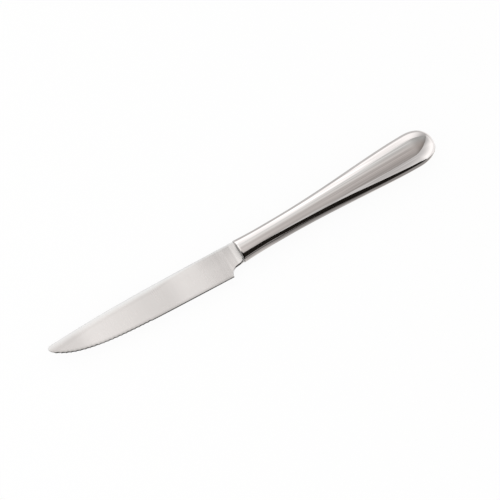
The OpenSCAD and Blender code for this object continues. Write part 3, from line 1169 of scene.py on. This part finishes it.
def card_light(start, studio):
    """The card's tint and glow."""
    along, depth, rise = (position(start, axis) for axis in "XYZ")

    # A haze low on the card's left, which ends on the foot
    haze = (along + depth * 0.13).fade(0.036, 0.046, 0.38, 0.0)
    haze = haze * (rise + along.fade(0.085, 0.091, 0.0, 0.05)).fade(0.05, 0.06, 1.0, 0.0)
    haze = haze * depth.fade(-0.15, -0.1, 1.0, 0.0)

    # Stripes on the foot, the nearer to the knife the brighter
    near = (depth + along.fade(0.06, 0.1, 0.0, 0.017)).steps(FOOT_STEPS)
    near = near + depth.fade(-0.05, -0.03) * along.fade(0.008, 0.02, 0.2, 0.0)
    near = near + depth.fade(-0.0125, -0.0075) * along.fade(0.05, 0.085, 0.14, 0.95)

    glow = haze.math("MAXIMUM", near) + CARD_GLOW
    return glow.fade(0.0, 0.1).blend(studio.card_tint, studio.warmth), glow


class KNIFE_OT_studio(bpy.types.Operator):
    """Sets up the floor, the light and the camera"""

    bl_idname = "knife.studio"
    bl_label = "Studio"

    def execute(self, context):
        studio = context.scene.knife_studio
        self.floor(studio)
        self.panel(studio)
        self.card(studio)
        self.sky(context.scene)
        self.camera(context.scene, studio)
        context.scene.view_settings.view_transform = "Standard"
        return {"FINISHED"}

    def floor(self, studio):
        """A pale floor that looks almost white, also in mirrors, and still takes the knife's shadow."""
        bpy.ops.object.select_all(action="DESELECT")
        bpy.ops.mesh.primitive_plane_add(size=FLOOR_SIZE)
        floor = bpy.context.object
        floor.name = "floor"
        material = bpy.data.materials.new("floor")
        start = empty_tree(material)
        along = position(start, "X")
        behind = (position(start, "Y") - along.fade(0.1, 0.14, 0.0, 0.02)).fade(0.0, 0.012)
        tone = mix(FLOOR_FRONT, along.fade(0.06, 0.1, 0.58, 0.7), behind)
        camera = ray(start, "Camera")
        mirrors = ray(start, "Glossy") + ray(start, "Transmission")
        white = start.node("ShaderNodeEmission", {}, {"Color": camera + mirrors * tone})
        matt = start.node("ShaderNodeBsdfDiffuse", {}, {"Color": paint(studio.floor)})
        part = camera * FLOOR_SEEN + mirrors * FLOOR_MIRRORED
        mixed = start.node("ShaderNodeMixShader", {}, {0: part, 1: matt, 2: white})
        start.node("ShaderNodeOutputMaterial", {}, {"Surface": mixed})
        floor.data.materials.append(material)

    def board(self, name, corners, material):
        """A flat board with the given corners, which the camera doesn't see."""
        mesh = bpy.data.meshes.new(name)
        mesh.from_pydata(corners, [], [list(range(len(corners)))])
        mesh.materials.append(material)
        board = bpy.data.objects.new(name, mesh)
        bpy.context.scene.collection.objects.link(board)
        board.visible_camera = False
        return board

    def panel(self, studio):
        """A gray panel over the knife, darker at its right-hand edges, brighter and cooler at its back."""
        corners = [(x, y, studio.panel_height) for x, y in PANEL_CORNERS]
        self.board("panel", corners, glowing("panel", panel_light, studio))

    def card(self, studio):
        """A dark card in front of the knife, with a foot on the floor, which only mirrors see."""
        material = glowing("card", card_light, studio)
        upright = [(x, CARD_Y, z) for x, z in CARD_CORNERS]
        foot = [(x, y, FOOT_Z) for x, y in FOOT_CORNERS]
        for name, corners in (("card", upright), ("card_foot", foot)):
            board = self.board(name, corners, material)
            board.visible_diffuse = False
            board.visible_shadow = False

    def sky(self, scene):
        """White behind the floor, and for the light a bright back, bright sides and a gray front."""
        world = bpy.data.worlds.new("studio_sky")
        scene.world = world
        start = empty_tree(world)
        x, y, z = (position(start, axis, "Generated") for axis in "XYZ")
        across = y / (x * x + y * y).math("SQRT").math("MAXIMUM", 0.0001)
        rise = z.math("ARCSINE") * (2 / math.pi)
        back = rise.fade(-0.02, 0.06, 0.5, 1.42) - rise.fade(0.4, 0.6, 0.0, 0.42)
        low = across.fade(0.0, 0.22) * across.fade(0.36, 0.48, 1.0, 0.0) * rise.fade(0.1, 0.3, 0.22, 0.0)
        sides = rise.fade(0.2, 0.75, 1.38, 0.7) * (across.fade(-0.08, 0.44, 1.0, 0.42) + low)
        front = rise.fade(0.4, 0.6, 0.82, 0.66)
        light = mix(sides, back, across.fade(0.48, 0.97))
        light = mix(light, front, across.fade(-0.82, -0.98))
        light = mix(light, 1.0, ray(start, "Camera"))
        shine = start.node("ShaderNodeBackground", {}, {"Color": light})
        start.node("ShaderNodeOutputWorld", {}, {"Surface": shine})

    def camera(self, scene, studio):
        """The photograph's camera, which looks down at the knife from its cutting edge's side."""
        away = Vector((
            math.sin(studio.azimuth) * math.cos(studio.elevation),
            -math.cos(studio.azimuth) * math.cos(studio.elevation),
            math.sin(studio.elevation),
        ))
        data = bpy.data.cameras.new("camera")
        data.lens = studio.lens
        data.sensor_width = 36.0
        data.clip_start = 0.01
        camera = bpy.data.objects.new("camera", data)
        camera.location = MOUTH + AIM + away * studio.distance
        camera.rotation_euler = away.to_track_quat("Z", "Y").to_euler()
        scene.collection.objects.link(camera)
        scene.camera = camera


class KNIFE_PT_sidebar(bpy.types.Panel):
    """Lists the operators that make the knife"""

    bl_idname = "KNIFE_PT_sidebar"
    bl_label = "Steak Knife"
    bl_space_type = "VIEW_3D"
    bl_region_type = "UI"
    bl_category = "Knife"

    def draw(self, context):
        for operator in OPERATORS:
            self.layout.operator(operator.bl_idname)


SETTINGS = {
    "knife_blade": BladeSettings,
    "knife_handle": HandleSettings,
    "knife_finish": FinishSettings,
    "knife_studio": StudioSettings,
}
OPERATORS = (KNIFE_OT_ground_blade, KNIFE_OT_polished_shells, KNIFE_OT_inner_fillings, KNIFE_OT_studio)
CLASSES = (*SETTINGS.values(), *OPERATORS, KNIFE_PT_sidebar)


def register():
    """Registers the classes and hangs the settings on the scene."""
    for kind in CLASSES:
        bpy.utils.register_class(kind)
    for name, kind in SETTINGS.items():
        setattr(bpy.types.Scene, name, bpy.props.PointerProperty(type=kind))


def unregister():
    """Takes the settings and classes away again."""
    for name in SETTINGS:
        delattr(bpy.types.Scene, name)
    for kind in reversed(CLASSES):
        bpy.utils.unregister_class(kind)


def main():
    """Makes the knife and its studio."""
    register()
    bpy.ops.knife.ground_blade()
    bpy.ops.knife.polished_shells()
    bpy.ops.knife.inner_fillings()
    bpy.ops.knife.studio()


if __name__ == "__main__":
    main()
